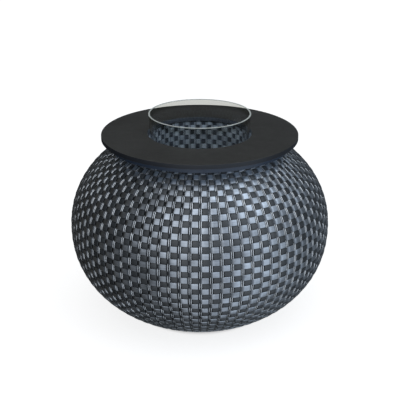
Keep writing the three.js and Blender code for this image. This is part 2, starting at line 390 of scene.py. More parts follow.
@dataclass(frozen=True)
class WovenPlastic(Finish):
    """Extruded plastic strip: satin, finely lined, with painted shade where it dips, its tone different strip
    by strip.

    Lines are given by their scale along and across the strip, and spreads by what they add to a value.
    """

    name: str
    dark: Colour
    light: Colour
    roughness: float
    metallic: float = 0.0
    grain_turn: float = 0.0
    grain_pull: float = 0.0
    ior: float = 1.5
    fine_lines: tuple[float, float] = (12.0, 2600.0)
    broad_lines: tuple[float, float] = (30.0, 420.0)
    line_tones: tuple[float, float] = (0.86, 1.14)
    line_depth: float = 0.00003
    cloud_scale: float = 38.0
    cloud_tones: tuple[float, float] = (0.74, 1.22)
    gloss_spread: tuple[float, float] = (-0.04, 0.05)
    # Painted shade: how dark the strip is painted where it dips, and over which openness it fades
    dip_shade: float = 0.12
    dip_shade_range: tuple[float, float] = (0.1, 0.9)
    slot: Slot = Slot.STRIP

    def fill(self, graph: Graph, shader: Node) -> None:
        """Fills in the material.

        Args:
            graph: The material's graph.
            shader: Its surface shader.
        """
        tone, openness = (graph.take("Fac", "ShaderNodeAttribute", attribute_name=name)
                          for name in (TONE, OPENNESS))
        lines, broad = (EFFECTS.place(graph, Effect.STREAKS, along=along, across=across)
                        for along, across in (self.fine_lines, self.broad_lines))
        cloud = mottle(graph, self.cloud_scale, 3.0, *self.cloud_tones)
        shade = graph.maths("MULTIPLY", cloud, graph.remap(broad, 0.3, 0.7, *self.line_tones))
        # Painted shade: the colour is darkened where the strip dips under its neighbours
        shade = graph.maths("MULTIPLY", shade, graph.remap(openness, *self.dip_shade_range, self.dip_shade, 1.0))
        body = {0: graph.blend(tone, self.dark, self.light), "Scale": shade}
        rough = [self.roughness + spread for spread in self.gloss_spread]
        graph.feed(shader, {
            "Base Color": graph.take("Vector", "ShaderNodeVectorMath", body, operation="SCALE"),
            "Roughness": graph.remap(broad, 0.25, 0.75, *rough),
            "Normal": graph.relief(lines, self.line_depth),
            "Tangent": graph.take("Tangent", "ShaderNodeTangent", direction_type="RADIAL", axis="Z"),
            "Metallic": self.metallic, "IOR": self.ior,
            "Anisotropic": self.grain_pull, "Anisotropic Rotation": self.grain_turn,
        })


@dataclass(frozen=True)
class Painted(Finish):
    """A matt painted or powder coated surface with a fine grain and lighter edges: wear, and on the boards a
    painted highlight along the arris.

    On a board, colour painted by the way a face looks stands in for light and shade: painted shade on its
    outer edge, painted light in its bore, and a pale underside as painted light for the weave below to
    mirror.
    """

    name: str
    slot: Slot
    colour: Colour
    # Lighter edges: wear, and on the boards a painted highlight along the arris
    rubbed_and_highlit_edge: Colour
    roughness: float
    cloud_scale: float = 9.0
    cloud_tones: tuple[float, float] = (0.86, 1.12)
    edge_sharpness: float = 5.0
    edge_wear_and_highlight: float = 0.55
    gloss_scale: float = 38.0
    gloss_spread: tuple[float, float] = (-0.05, 0.06)
    grain: float = 900.0
    grain_depth: float = 0.00004
    dust: float = 0.0
    dust_scale: float = 60.0
    dust_colour: Colour = (0.32, 0.31, 0.29)
    ior: float = 1.5
    # Painted shade on a board's outer edge, painted light in its bore, and a pale underside as painted light
    # for the weave below to mirror
    painted_edge_shade: Colour | None = None
    bore: Colour = (0.0, 0.0, 0.0)
    painted_underside_light: Colour = (0.0, 0.0, 0.0)

    def fill(self, graph: Graph, shader: Node) -> None:
        """Fills in the material.

        Args:
            graph: The material's graph.
            shader: Its surface shader.
        """
        cloud = mottle(graph, self.cloud_scale, 5.0)
        body = graph.blend(cloud, *(toned(self.colour, share) for share in self.cloud_tones))
        # Lighter edges: wear, and on the boards a painted highlight
        edge = EFFECTS.place(graph, Effect.ARRIS, sharpness=self.edge_sharpness, amount=self.edge_wear_and_highlight)
        body = graph.blend(edge, body, self.rubbed_and_highlit_edge)
        if self.dust > 0.0:
            dust = EFFECTS.place(graph, Effect.DUST, scale=self.dust_scale, amount=self.dust)
            body = graph.blend(dust, body, self.dust_colour)
        if self.painted_edge_shade is not None:
            body = self.paint_light_by_facing(graph, body)
        rough = [self.roughness + spread for spread in self.gloss_spread]
        graph.feed(shader, {
            "Base Color": body,
            "Roughness": mottle(graph, self.gloss_scale, 4.0, *rough),
            "Normal": graph.relief(mottle(graph, self.grain, 2.0), self.grain_depth),
            "IOR": self.ior,
        })

    def paint_light_by_facing(self, graph: Graph, body: Socket) -> Socket:
        """Paints light and shade by the way a face looks: painted shade on a ring board's outer edge, painted
        light in its bore, and a pale underside as painted light.

        Args:
            graph: The material's graph.
            body: The colour of the top face.

        Returns:
            The colour of all faces.
        """
        facing = graph.facing()
        outward = graph.vectors("DOT_PRODUCT", graph.level(graph.spot()), facing, output="Value")
        # Painted shade on the outer edge, painted light in the bore
        upright = graph.blend(graph.remap(outward, -0.03, 0.03), self.bore, self.painted_edge_shade)
        up = graph.upward(facing)
        # Pale underside: painted light, which the weave below mirrors
        level = graph.blend(graph.remap(up, -0.98, -0.9), self.painted_underside_light, body)
        return graph.blend(graph.remap(graph.maths("ABSOLUTE", up), 0.1, 0.6), upright, level)


@dataclass(frozen=True)
class BlownGlass(Finish):
    """Clear glass, painted greyer towards its lip as painted shade, with a faint unevenness and hardly
    visible wipe marks.
    """

    name: str = "Clear glass"
    slot: Slot = Slot.GLASS
    tint: Colour = (0.88, 0.89, 0.88)
    # Painted shade: the glass is painted greyer near the lip
    lip_shade_tint: Colour = (0.56, 0.565, 0.53)
    lip_shade_depths: tuple[float, float] = (0.011, 0.02)
    ior: float = 1.27
    haze: float = 0.006
    haze_scale: float = 16.0
    swell: float = 0.00004
    swell_scale: float = 24.0

    def fill(self, graph: Graph, shader: Node) -> None:
        """Fills in the material, which lets shadow rays pass, so that what stands in the bucket is lit.

        Args:
            graph: The material's graph.
            shader: Its glass shader.
        """
        depth = graph.maths("SUBTRACT", CAD_BOX[1].z, graph.upward(graph.spot()))
        graph.feed(shader, {
            # Painted shade towards the lip
            "Base Color": graph.blend(graph.remap(depth, *self.lip_shade_depths), self.lip_shade_tint, self.tint),
            "Roughness": mottle(graph, self.haze_scale, 3.0, 0.0, self.haze),
            "Normal": graph.relief(mottle(graph, self.swell_scale, 1.0), self.swell),
            "IOR": self.ior, "Transmission Weight": 1.0, "Metallic": 0.0,
        })
        mixed = graph.take("Shader", "ShaderNodeMixShader", {
            "Fac": graph.take("Is Shadow Ray", "ShaderNodeLightPath"),
            1: shader.outputs["BSDF"],
            2: graph.take("BSDF", "ShaderNodeBsdfTransparent", {"Color": (*self.tint, 1.0)}),
        })
        graph.feed(graph.tree.nodes["Material Output"], {"Surface": mixed})


@dataclass(frozen=True)
class Clouded(Finish):
    """A hard surface whose tone and gloss vary a little: brushed steel, or a fire polished glass rim, which
    is pale and mostly opaque as a painted highlight.

    Its darkest tone is a share of its colour.
    """

    name: str
    slot: Slot
    colour: Colour
    darkest: float
    cloud_scale: float
    gloss_scale: float
    gloss_detail: float
    gloss_spread: tuple[float, float]
    relief: float
    roughness: float = 0.3
    metallic: float = 0.0
    clearness: float = 0.0
    ior: float = 1.5

    def fill(self, graph: Graph, shader: Node) -> None:
        """Fills in the material.

        Args:
            graph: The material's graph.
            shader: Its surface shader.
        """
        cloud = mottle(graph, self.cloud_scale, 4.0)
        rough = [self.roughness + spread for spread in self.gloss_spread]
        uneven = mottle(graph, self.gloss_scale, self.gloss_detail, *rough)
        graph.feed(shader, {
            "Base Color": graph.blend(cloud, toned(self.colour, self.darkest), self.colour),
            "Roughness": uneven,
            "Normal": graph.relief(uneven, self.relief),
            "IOR": self.ior, "Transmission Weight": self.clearness, "Metallic": self.metallic,
        })


# Painted light and shade: wefts and warps stand for one strip material. The wefts get a pale metallic colour
# and the warps a near black one, so the weave shows its light and dark checker under any lamp.
WEFT_FINISH = WovenPlastic("Woven weft", dark=(0.44, 0.475, 0.52), light=(0.57, 0.62, 0.685),
                           roughness=0.32, metallic=1.0, dip_shade=0.05, dip_shade_range=(0.0, 1.0))
WARP_FINISH = WovenPlastic("Woven warp", dark=(0.024, 0.028, 0.032), light=(0.04, 0.045, 0.05),
                           roughness=0.42, grain_turn=0.25, grain_pull=0.85, ior=1.76, dip_shade=0.4)
CORD_FINISH = WovenPlastic("Twin cord", dark=(0.8, 0.83, 0.86), light=(0.92, 0.95, 0.98),
                           roughness=0.26, metallic=0.85, line_depth=0.00001, dip_shade=0.05,
                           dip_shade_range=(0.15, 0.6))
# Painted light and shade in the well: its wefts and cords are painted light and bluish for the light that
# falls into it, its warps dark
LIT_WELL_FINISH = WovenPlastic("Lit well strip", dark=(0.42, 0.49, 0.6), light=(0.72, 0.82, 0.96),
                           roughness=0.34, dip_shade=0.3)
SHADED_FINISH = WovenPlastic("Shaded strip", dark=(0.055, 0.068, 0.09), light=(0.09, 0.108, 0.14),
                             roughness=0.4)
# The boards' edge, bore and underside colours are painted light and shade, and their lighter arris is a
# painted highlight as well as wear
BOARD_FINISH = Painted("Charcoal board", Slot.BOARD, (0.035, 0.035, 0.033), (0.1, 0.1, 0.105),
                       roughness=0.48, dust=0.006, ior=1.55, painted_edge_shade=(0.008, 0.011, 0.017),
                       bore=(0.075, 0.09, 0.115), painted_underside_light=(0.55, 0.62, 0.7))
COLLAR_FINISH = Painted("Collar board", Slot.COLLAR, (0.105, 0.12, 0.15), (0.18, 0.195, 0.22),
                        roughness=0.42, ior=1.7, painted_edge_shade=(0.012, 0.03, 0.062), bore=(0.13, 0.15, 0.19),
                        painted_underside_light=(0.55, 0.62, 0.7))
FRAME_FINISH = Painted("Frame paint", Slot.FRAME, (0.02, 0.021, 0.022), (0.09, 0.09, 0.09),
                       roughness=0.46, grain=1400.0, dust=0.05)
RUBBER_FINISH = Painted("Rubber", Slot.RUBBER, (0.012, 0.012, 0.012), (0.03, 0.03, 0.03),
                        roughness=0.75, grain=2200.0, dust=0.04)
GLASS_FINISH = BlownGlass()
# Painted highlight: the rim is pale and mostly opaque, standing in for the bright line along the rim
RIM_HIGHLIGHT_FINISH = Clouded("Rim glass highlight", Slot.GLASS, (0.74, 0.78, 0.74), darkest=0.85, cloud_scale=120.0,
                     gloss_scale=400.0, gloss_detail=3.0, gloss_spread=(-0.05, 0.08), relief=0.00001,
                     clearness=0.25, ior=1.45)
STEEL_FINISH = Clouded("Brushed steel", Slot.STEEL, (0.56, 0.57, 0.58), darkest=0.8, cloud_scale=180.0,
                       gloss_scale=520.0, gloss_detail=6.0, gloss_spread=(-0.07, 0.1), relief=0.00002,
                       metallic=1.0)


# Meshes


def even_turns(count: int) -> np.ndarray:
    """Angles that part a full turn into equal steps."""
    return FULL_TURN * np.arange(count) / count


def spin(radius: float | np.ndarray, turn: np.ndarray, height: float | np.ndarray) -> np.ndarray:
    """Points at a radius from the axis, a turn about it and a height, with x, y and z on the last axis."""
    return np.stack(np.broadcast_arrays(radius * np.sin(turn), -radius * np.cos(turn), height), axis=-1)


def faces_inward(corners: np.ndarray, triangles: np.ndarray) -> bool:
    """Whether the triangles of a closed body look inward.

    Args:
        corners: Vertices, one row each.
        triangles: Vertex numbers, three a row.

    Returns:
        True where the volume inside them comes out negative.
    """
    a, b, c = (corners[triangles[:, i]] for i in range(3))
    return float(np.einsum("ij,ij->i", a, np.cross(b, c)).sum()) < 0.0


def new_piece(name: str, corners: np.ndarray, faces: Sequence[Sequence[int]]) -> Piece:
    """Makes a smooth shaded mesh object.

    Args:
        name: The piece's name.
        corners: Its vertices, one row each.
        faces: Vertex numbers of each face.

    Returns:
        The object, linked to the scene.
    """
    mesh = bpy.data.meshes.new(name)
    mesh.from_pydata(corners.tolist(), [], faces)
    mesh.update()
    mesh.shade_smooth()
    piece = bpy.data.objects.new(name, mesh)
    bpy.context.scene.collection.objects.link(piece)
    return piece


@dataclass
class Tubes:
    """Like tubes of one mesh: for each tube, stations along it, and section points round each station.

    Along and round are the places of the stations and of the section points on the lengthwise map. The
    openness says how much light each station gets, from nought in a dip to one on a crest. Edges sharper
    than the crease, an angle in degrees, stay sharp.
    """

    points: np.ndarray
    along: np.ndarray
    round: np.ndarray
    endless: bool
    tones: np.ndarray
    openness: np.ndarray | float = 1.0
    crease: float | None = None

    def make(self, name: str) -> Piece:
        """Builds the mesh, with a lengthwise map and one tone a tube.

        Args:
            name: The piece's name.

        Returns:
            The new piece.
        """
        count, stations, sides, _ = self.points.shape
        corners = self.points.reshape(-1, 3)
        number = np.arange(count * stations * sides).reshape(count, stations, sides)
        here = number if self.endless else number[:, :-1]
        after = np.roll(number, -1, axis=1) if self.endless else number[:, 1:]
        quads = np.stack([here, np.roll(here, -1, axis=2), np.roll(after, -1, axis=2), after], axis=-1)
        steps = quads.shape[1]
        quads = quads.reshape(-1, 4)
        spots = self.lengthwise_map(count, steps, sides)
        faces = quads.tolist()
        if not self.endless:
            faces += number[:, 0, ::-1].tolist() + number[:, -1].tolist()
        if faces_inward(corners, np.concatenate([quads[:, :3], quads[:, [0, 2, 3]]])):
            faces = [face[::-1] for face in faces]
            spots = spots[:, ::-1]
        piece = new_piece(name, corners, faces)
        mapped = np.zeros((len(piece.data.loops), 2), np.float32)
        mapped[:spots.size // 2] = spots.reshape(-1, 2)
        piece.data.uv_layers.new(name=STRIP_MAP).data.foreach_set("uv", mapped.ravel())
        openness = np.broadcast_to(self.openness, (count, stations)).ravel()
        for title, values in ((TONE, np.repeat(self.tones, stations)), (OPENNESS, openness)):
            layer = piece.data.attributes.new(title, "FLOAT", "POINT")
            layer.data.foreach_set("value", np.repeat(values, sides).astype(np.float32))
        if self.crease is not None:
            piece.data.set_sharp_from_angle(angle=math.radians(self.crease))
        return piece

    def lengthwise_map(self, count: int, steps: int, sides: int) -> np.ndarray:
        """Where the corners of each face lie on a flat map of the tubes, each tube a little further along.

        Args:
            count: How many tubes there are.
            steps: How many rings of faces each has.
            sides: How many faces each ring has.

        Returns:
            Places along and round, four a face.
        """
        along = np.append(self.along, 2 * self.along[-1] - self.along[-2])
        around = np.append(self.round, self.round[-1] + self.round[1] - self.round[0])
        u = np.stack([along[:steps], along[:steps], along[1:steps + 1], along[1:steps + 1]], axis=-1)
        v = np.stack([around[:sides], around[1:], around[1:], around[:sides]], axis=-1)
        shift = STRIP_MAP_SHIFT * np.arange(count)[:, None, None, None]
        both = np.broadcast_arrays(u[None, :, None, :] + shift, v[None, None, :, :])
        return np.stack(both, axis=-1).reshape(-1, 4, 2)


def revolve(name: str, profile: Sequence[ProfilePoint], segments: int, crease: float = 40.0) -> Piece:
    """Turns a closed profile about the z axis.

    Args:
        name: The piece's name.
        profile: Radius and height of each point, in order round the section. Ends on the axis are closed.
        segments: How many steps make a full turn.
        crease: The angle in degrees from which an edge stays sharp.

    Returns:
        The new piece, its faces turned outward.
    """
    turns = even_turns(segments)
    corners: list[list[float]] = []
    rings: list[list[int]] = []
    for radius, height in profile:
        ring = spin(radius, turns, height) if radius > 0.0 else np.array([[0.0, 0.0, height]])
        numbers = list(range(len(corners), len(corners) + len(ring)))
        rings.append(numbers * (segments // len(ring)))
        corners += ring.tolist()
    faces = []
    for ring, other in zip(rings, rings[1:] + rings[:1]):
        if ring[0] == ring[1] and other[0] == other[1]:
            continue
        for k in range(segments):
            after = (k + 1) % segments
            faces.append(list(dict.fromkeys([ring[k], ring[after], other[after], other[k]])))
    piece = new_piece(name, np.array(corners), faces)
    piece.data.calc_loop_triangles()
    triangles = np.array([triangle.vertices for triangle in piece.data.loop_triangles])
    if faces_inward(np.array(corners), triangles):
        piece.data.flip_normals()
    piece.data.set_sharp_from_angle(angle=math.radians(crease))
    return piece


def rounded(corner: ProfilePoint, before: ProfilePoint, after: ProfilePoint, radius: float,
            steps: int = 4) -> list[ProfilePoint]:
    """The arc that rounds one corner of a profile.

    Args:
        corner: The sharp corner.
        before: The point before it.
        after: The point after it.
        radius: How far from the corner the arc starts along both sides.
        steps: How many steps the arc has.

    Returns:
        The points of the arc, in order.
    """
    here = Vector((*corner, 0.0))
    start, end = (here + (Vector((*side, 0.0)) - here).normalized() * radius for side in (before, after))
    shares = [i / steps for i in range(steps + 1)]
    points = [start * (1 - t) ** 2 + here * (2 * t * (1 - t)) + end * t ** 2 for t in shares]
    return [(point.x, point.y) for point in points]


def arc(radius: float, height: float, size: float, start: float, end: float,
        steps: int) -> list[ProfilePoint]:
    """Points of an arc in a profile.

    Args:
        radius: The radius of its centre from the axis.
        height: The height of its centre.
        size: Its own radius.
        start: Its first angle in degrees.
        end: Its last angle in degrees.
        steps: How many steps it has.

    Returns:
        The points in order.
    """
    angles = np.radians(np.linspace(start, end, steps + 1))
    return [(radius + size * math.cos(angle), height + size * math.sin(angle)) for angle in angles]


def hoop(name: str, radius: float, height: float, bar: float, segments: int, sides: int = 14) -> Piece:
    """A hoop of round bar, by the radius and height of the bar's middle and the bar's own radius."""
    return revolve(name, arc(radius, height, bar, 0, 360, sides)[:-1], segments)


def flat_ring(name: str, node: str, bore: float, arris: float, segments: int, steps: int = 4) -> Piece:
    """A flat ring with eased edges, as high and as wide as the node that it stands for.

    Args:
        name: The piece's name.
        node: The node.
        bore: The radius of its hole.
        arris: How far its edges are eased.
        segments: How many steps make a full turn.
        steps: How many steps each eased edge has.

    Returns:
        The new piece.
    """
    low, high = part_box(node)
    corners = [(bore, low.z), (high.x, low.z), (high.x, high.z), (bore, high.z)]
    profile = []
    for i, corner in enumerate(corners):
        profile += rounded(corner, corners[i - 1], corners[(i + 1) % len(corners)], arris, steps)
    return revolve(name, profile, segments)


def settle(piece: Piece, finish: Finish, body: Body, *nodes: str) -> None:
    """Dresses a new piece, lets it ride on its body and stand for its nodes.

    Args:
        piece: The new piece.
        finish: Its finish.
        body: The body that it rides on.
        *nodes: The nodes that it stands for.
    """
    finish.put_on(piece)
    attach(piece, body.value)
    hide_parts(*nodes)
    LOG.info("%s: %d faces, on %s", piece.name, len(piece.data.polygons), body.value)


def dress(finish: Finish, starts: tuple[str, ...]) -> None:
    """Gives CAD pieces a finish.

    Args:
        finish: The finish.
        starts: What their names start with.
    """
    for name, node in sorted(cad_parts.items()):
        if name.startswith(starts):
            finish.put_on(node)
            LOG.info("%s: dressed", name)


# Grounds that a weave lies on


class Ground(ABC):
    """A surface of revolution that strips are laid on, as long as its reach from its top edge down."""

    reach: float

    @abstractmethod
    def place(self, down: np.ndarray, turn: np.ndarray, lift: np.ndarray) -> np.ndarray:
        """Points at a distance down from the top edge, at a turn and a lift off the surface."""

    @abstractmethod
    def narrowing(self, down: np.ndarray) -> np.ndarray:
        """The share of the full circumference that is left at a distance down from the top edge."""


@dataclass
class GlobeGround(Ground):
    """The globe, whose side view is a superellipse above the belly and another below it."""

    neck_height: float
    foot_height: float
    belly_height: float = 0.215
    belly_radius: float = 0.300
    neck_radius: float = 0.1765
    foot_radius: float = 0.161
    shoulder_fullness: float = 2.1
    foot_fullness: float = 2.14
    samples: int = 1200

    def __post_init__(self) -> None:
        """Walks down the outline from the neck edge to the foot edge."""
        top_angle, rise = self.closing(self.neck_height, self.neck_radius, self.shoulder_fullness)
        low_angle, drop = self.closing(self.foot_height, self.foot_radius, self.foot_fullness)
        angle = np.linspace(top_angle, -low_angle, self.samples)
        fullness = np.where(angle < 0, self.foot_fullness, self.shoulder_fullness)
        closing = np.where(angle < 0, drop, rise)
        self.radius = self.belly_radius * np.cos(angle) ** (2 / fullness)
        climb = np.abs(np.sin(angle)) ** (2 / fullness)
        self.height = self.belly_height + closing * climb
        out = (self.radius / self.belly_radius) ** (fullness - 1) / self.belly_radius
        up = climb ** (fullness - 1) / closing
        size = np.hypot(out, up)
        self.out, self.up = out / size, up / size
        steps = np.hypot(np.diff(self.radius), np.diff(self.height))
        self.down = np.concatenate([[0.0], np.cumsum(steps)])
        self.reach = float(self.down[-1])

    def closing(self, height: float, radius: float, fullness: float) -> tuple[float, float]:
        """Fits the superellipse that runs from the belly through an edge.

        Args:
            height: The edge's height.
            radius: The edge's radius.
            fullness: The superellipse's exponent.

        Returns:
            Its angle at the edge, and how far above the belly it would close, below zero for the foot's.
        """
        share = radius / self.belly_radius
        size = (height - self.belly_height) / (1 - share ** fullness) ** (1 / fullness)
        return math.acos(share ** (fullness / 2)), size

    def place(self, down: np.ndarray, turn: np.ndarray, lift: np.ndarray) -> np.ndarray:
        """Points on or above the globe.

        Args:
            down: Distance along the outline from the neck edge.
            turn: Turn about the axis.
            lift: Height above the outline, along its normal.

        Returns:
            The points, with x, y and z on the last axis.
        """
        radius, out, height, up = (np.interp(down, self.down, values)
                                   for values in (self.radius, self.out, self.height, self.up))
        return spin(radius + lift * out, turn, height + lift * up)

    def narrowing(self, down: np.ndarray) -> np.ndarray:
        """The local radius as a share of the belly's."""
        return np.interp(down, self.down, self.radius) / self.belly_radius


@dataclass
class SleeveGround(Ground):
    """The inner face of the woven sleeve, a cylinder that is seen from its axis."""

    radius: float
    top: float
    bottom: float

    def __post_init__(self) -> None:
        """Works out the length of the sleeve."""
        self.reach = self.top - self.bottom

    def place(self, down: np.ndarray, turn: np.ndarray, lift: np.ndarray) -> np.ndarray:
        """Points on the sleeve or nearer to its axis by the lift."""
        return spin(self.radius - lift, turn, self.top - down)

    def narrowing(self, down: np.ndarray) -> np.ndarray:
        """One everywhere: the sleeve doesn't taper."""
        return np.ones_like(down)


# Weave


class Warp(Enum):
    """The strips of a column, by how far they stand aside from its middle as a share of the pitch."""

    BROAD = 0.125
    LEFT_CORD = -0.486
    RIGHT_CORD = -0.3


@dataclass
class Weave:
    """Plain weave of flat wefts over warps that are each a broad strip beside twin cords.

    Widths along the rows are shares of the column pitch, and widths across them shares of the row pitch.
    A wave is how far a strip swings in and out, and a pinch how much it narrows between crossings. The
    climb and the dive are where a weft rises and sinks, counted in columns, and the brink is the stretch
    before the dive.
    """

    ground: Ground
    full_radius: float
    columns: int
    rows: int
    row_pitch: float
    first_row: float
    start_turn: float
    depth: float
    weft_wave: float
    warp_wave: float
    cord_wave: float
    thickness: float
    crown: float
    cord_radius: float
    phase: int = 1
    weft_share: float = 0.975
    warp_share: float = 0.63
    shoulder_share: float = 0.93
    section_wrap: tuple[float, ...] = (0.0, 0.1, 0.5, 0.9, 1.0, 1.1, 1.9)
    weft_climb: tuple[float, float] = (-0.58, -0.22)
    weft_dive: tuple[float, float] = (0.37, 0.46)
    weft_steps: int = 4
    brink: float = 0.03
    climb_openness: float = 0.15
    dive_openness: float = 0.3
    weft_low: float = -0.6
    weft_pinch: float = 0.06
    warp_pinch: float = 0.1
    steepness: float = 1.5
    warp_steps: int = 4
    end_margin: float = 0.002
    cord_sides: int = 5
    crease: float = 35.0
    seed: int = 7

    def __post_init__(self) -> None:
        """Seeds the tones of the strips, and works out the pitch of the columns as a turn."""
        self.random = np.random.default_rng(self.seed)
        self.pitch_turn = FULL_TURN / self.columns

    def flat_section(self) -> tuple[np.ndarray, np.ndarray, np.ndarray]:
        """The section of a flat strip.

        Returns:
            Shares of the half width, lifts, and places round the section for the map, of its points.
        """
        half, shoulder = self.thickness / 2, self.shoulder_share
        shares = np.array([-1.0, -shoulder, 0.0, shoulder, 1.0, shoulder, -shoulder])
        lifts = np.array([0.0, half, half + self.crown, half, 0.0, -half, -half])
        return shares, lifts, np.array(self.section_wrap) * self.row_pitch

    def weft_path(self) -> tuple[np.ndarray, np.ndarray, np.ndarray]:
        """The path of a weft through two columns: up over the first column's warps and down under the next.

        Returns:
            Stations counted in columns, how far over the weft lies at each, and how open to the light.
        """
        ease = np.linspace(0.0, 1.0, self.weft_steps + 1)
        curve = ease * ease * (3 - 2 * ease)
        climb, dive = (first + (last - first) * ease for first, last in (self.weft_climb, self.weft_dive))
        brink = dive[0] - self.brink
        ridge = np.append(np.linspace(climb[-1], brink, self.weft_steps)[1:-1], brink)
        trough = np.linspace(dive[-1], climb[0] + 2.0, self.weft_steps)[1:-1]
        span = 1.0 - self.weft_low
        over = np.concatenate([
            self.weft_low + span * curve, np.ones(ridge.size),
            1.0 - span * curve, np.full(trough.size, self.weft_low),
        ])
        openness = np.concatenate([
            self.climb_openness + (1 - self.climb_openness) * ease ** 2, np.ones(ridge.size),
            self.dive_openness * (1 - ease) ** 2, np.zeros(trough.size),
        ])
        return np.concatenate([climb, ridge, dive, trough]), over, openness

    def wefts(self, name: str, rows: Sequence[int]) -> Piece:
        """Rows of weft, each an endless strip round the ground.

        Args:
            name: The piece's name.
            rows: Which rows, counted down from the top edge.

        Returns:
            The new piece.
        """
        path, over, openness = self.weft_path()
        pairs = self.columns // 2
        column = (path[None, :] + 2.0 * np.arange(pairs)[:, None]).ravel()
        over = np.tile(over, pairs)
        number = np.array(rows, float)
        half = self.row_pitch * self.weft_share / 2 * (1 - self.weft_pinch * (1 - over ** 2))
        shares, lifts, around = self.flat_section()
        middle = (self.first_row + self.row_pitch * number)[:, None, None]
        down = middle + half[None, :, None] * shares
        lift = self.weft_wave * over[None, :, None] + lifts - self.depth
        offset = (number + self.phase) % 2
        turn = self.start_turn + self.pitch_turn * (column[None, :, None] + offset[:, None, None])
        points = self.ground.place(down, turn, lift)
        along = column * self.pitch_turn * self.full_radius
        tones = self.random.random(len(rows))
        openness = np.tile(openness, pairs)
        return Tubes(points, along, around, True, tones, openness, self.crease).make(name)

    def crossings(self) -> tuple[np.ndarray, np.ndarray]:
        """Stations along the warps.

        Returns:
            Distances down from the top edge, and how far over each column's warps lie there, from -1 to 1.
        """
        inner = np.arange(-self.warp_steps // 2, self.rows * self.warp_steps) / self.warp_steps
        down = self.first_row + self.row_pitch * inner
        down = down[(down > self.end_margin) & (down < self.ground.reach - self.end_margin)]
        down = np.concatenate([[0.0], down, [self.ground.reach]])
        row = (down - self.first_row) / self.row_pitch
        count = np.arange(self.columns, dtype=float)[:, None] + row[None, :] + self.phase
        over = -np.tanh(self.steepness * np.cos(math.pi * count)) / math.tanh(self.steepness)
        return down, over

    def warps(self, name: str, warp: Warp) -> Piece:
        """The broad flat strip of every column, or one of its two round cords.

        Args:
            name: The piece's name.
            warp: Which strip of the column.

        Returns:
            The new piece.
        """
        down, over = self.crossings()
        if warp is Warp.BROAD:
            shares, lifts, around = self.flat_section()
            half = self.pitch_turn * self.warp_share / 2 * (1 - self.warp_pinch * (1 - over ** 2))
            spread, wave, crease = half[:, :, None] * shares, self.warp_wave, self.crease
        else:
            angle = even_turns(self.cord_sides)
            size = self.cord_radius * self.ground.narrowing(down)
            lifts, around = size[None, :, None] * np.sin(angle), angle * self.cord_radius
            spread, wave, crease = self.cord_radius / self.full_radius * np.cos(angle), self.cord_wave, None
        middle = self.start_turn + self.pitch_turn * (np.arange(self.columns, dtype=float) + warp.value)
        lift = wave * over[:, :, None] + lifts - self.depth
        points = self.ground.place(down[None, :, None], middle[:, None, None] + spread, lift)
        tones = self.random.random(self.columns)
        return Tubes(points, down, around, False, tones, (over + 1) / 2, crease).make(name)


# The table's sub-assemblies


@dataclass
class WovenGlobe:
    """The woven skin of the globe, with a wound hem round its foot and its neck."""

    columns: int = 84
    rows: int = 37
    row_pitch: float = 0.013425
    first_row: float = 0.0104
    start_turn: float = math.radians(-10.8)
    hem_bar: float = 0.0028
    hem_groove: float = 0.1
    hem_sink: float = 0.0002
    hem_tone: float = 0.3
    hem_winds: int = 2
    hem_steps: int = 8
    hem_sides: int = 10

    def build(self) -> None:
        """Weaves the globe and dresses it."""
        low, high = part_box("woven_skin")
        ground = GlobeGround(neck_height=high.z, foot_height=low.z)
        weave = Weave(
            ground=ground, full_radius=ground.belly_radius, columns=self.columns, rows=self.rows,
            row_pitch=self.row_pitch, first_row=self.first_row, start_turn=self.start_turn,
            depth=0.0035, weft_wave=0.0015, warp_wave=0.0011, cord_wave=0.0006,
            thickness=0.0012, crown=0.0005, cord_radius=0.0012,
        )
        half = self.rows // 2
        for piece, finish in (
            (weave.wefts("skin_wefts_upper", range(half)), WEFT_FINISH),
            (weave.wefts("skin_wefts_lower", range(half, self.rows)), WEFT_FINISH),
            (weave.warps("skin_warps", Warp.BROAD), WARP_FINISH),
            (weave.warps("skin_cords_left", Warp.LEFT_CORD), CORD_FINISH),
            (weave.warps("skin_cords_right", Warp.RIGHT_CORD), CORD_FINISH),
            (self.hem("skin_hem_foot", ground, ground.reach - self.hem_bar), WEFT_FINISH),
            (self.hem("skin_hem_neck", ground, self.hem_bar), WARP_FINISH),
        ):
            settle(piece, finish, Body.TABLE, "woven_skin")

    def hem(self, name: str, ground: GlobeGround, middle: float) -> Piece:
        """A cord wound round an edge of the weave.

        Args:
            name: The piece's name.
            ground: The globe.
            middle: How far down the middle of the hem lies.

        Returns:
            The new piece.
        """
        stations = self.columns * self.hem_steps
        step = np.arange(stations) / stations
        angle = even_turns(self.hem_sides)
        twist = FULL_TURN * self.hem_winds * self.columns * step[:, None] + angle[None, :]
        bar = self.hem_bar * (1 - self.hem_groove + self.hem_groove * np.abs(np.sin(twist / 2)))
        turn = (FULL_TURN * step)[None, :, None]
        lift = bar * np.sin(angle) - self.hem_bar - self.hem_sink
        points = ground.place((middle + bar * np.cos(angle))[None], turn, lift[None])
        along = FULL_TURN * ground.belly_radius * step
        return Tubes(points, along, angle * self.hem_bar, True, np.array([self.hem_tone])).make(name)


